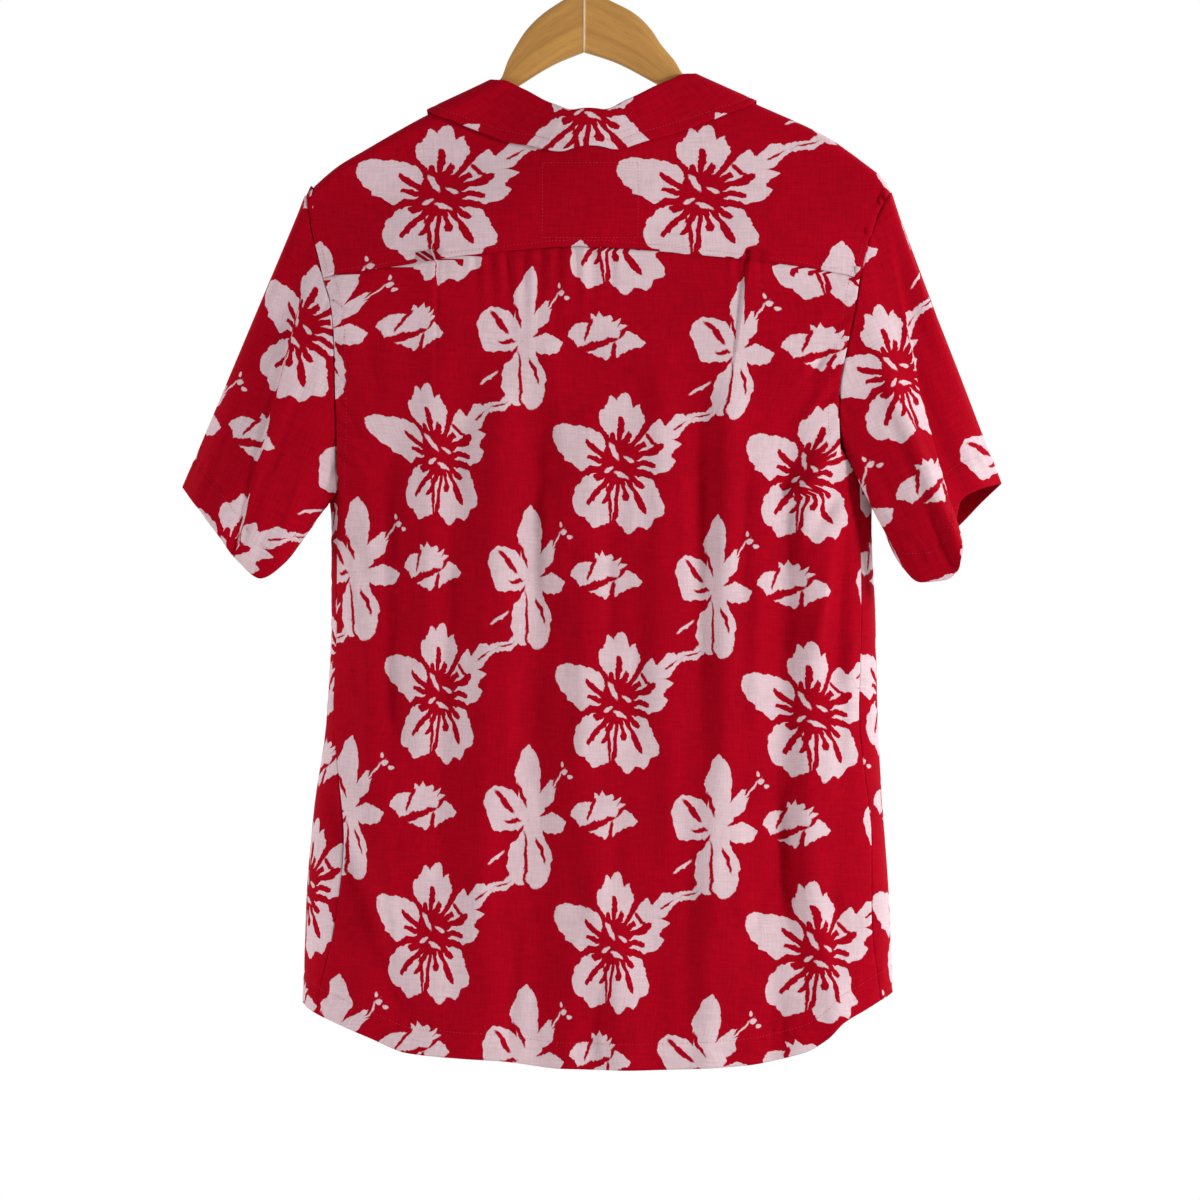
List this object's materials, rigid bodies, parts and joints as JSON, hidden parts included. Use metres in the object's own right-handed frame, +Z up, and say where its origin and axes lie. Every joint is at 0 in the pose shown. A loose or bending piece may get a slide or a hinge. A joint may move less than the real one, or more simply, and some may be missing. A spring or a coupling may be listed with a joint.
{
  "type": "hawaiian shirt on a wooden hanger",
  "caption": "Short-sleeved camp-collar shirt in red cloth with a white hibiscus print, hanging open at neck, cuffs and hem on a flat wooden hanger.",
  "frame": {"origin": "inside top of the hanger's hook, where a rail carries it, on the hanger's mid plane and over its mitre", "axes": "+Z up, +Y towards the back of the shirt, +X towards the wearer's left"},
  "size_m": [0.655, 0.1392, 0.9257],
  "materials": {
    "printed_cloth": "soft plain-weave rayon with a slub, low sheen",
    "button": "polished shell-like plastic",
    "hanger_wood": "clear satin varnish",
    "hanger_hook": "bright plated wire"
  },
  "bodies": {
    "root": {"back": "printed_cloth", "yoke": "printed_cloth", "front_left": "printed_cloth", "front_right": "printed_cloth", "collar": "printed_cloth", "lapel_left": "printed_cloth", "lapel_right": "printed_cloth", "sleeve_left": "printed_cloth", "sleeve_right": "printed_cloth", "button_1": "button", "button_2": "button", "button_3": "button", "button_4": "button", "button_5": "button", "hanger_wood_left": "hanger_wood", "hanger_wood_right": "hanger_wood", "hanger_hook": "hanger_hook"}
  },
  "joints": []
}
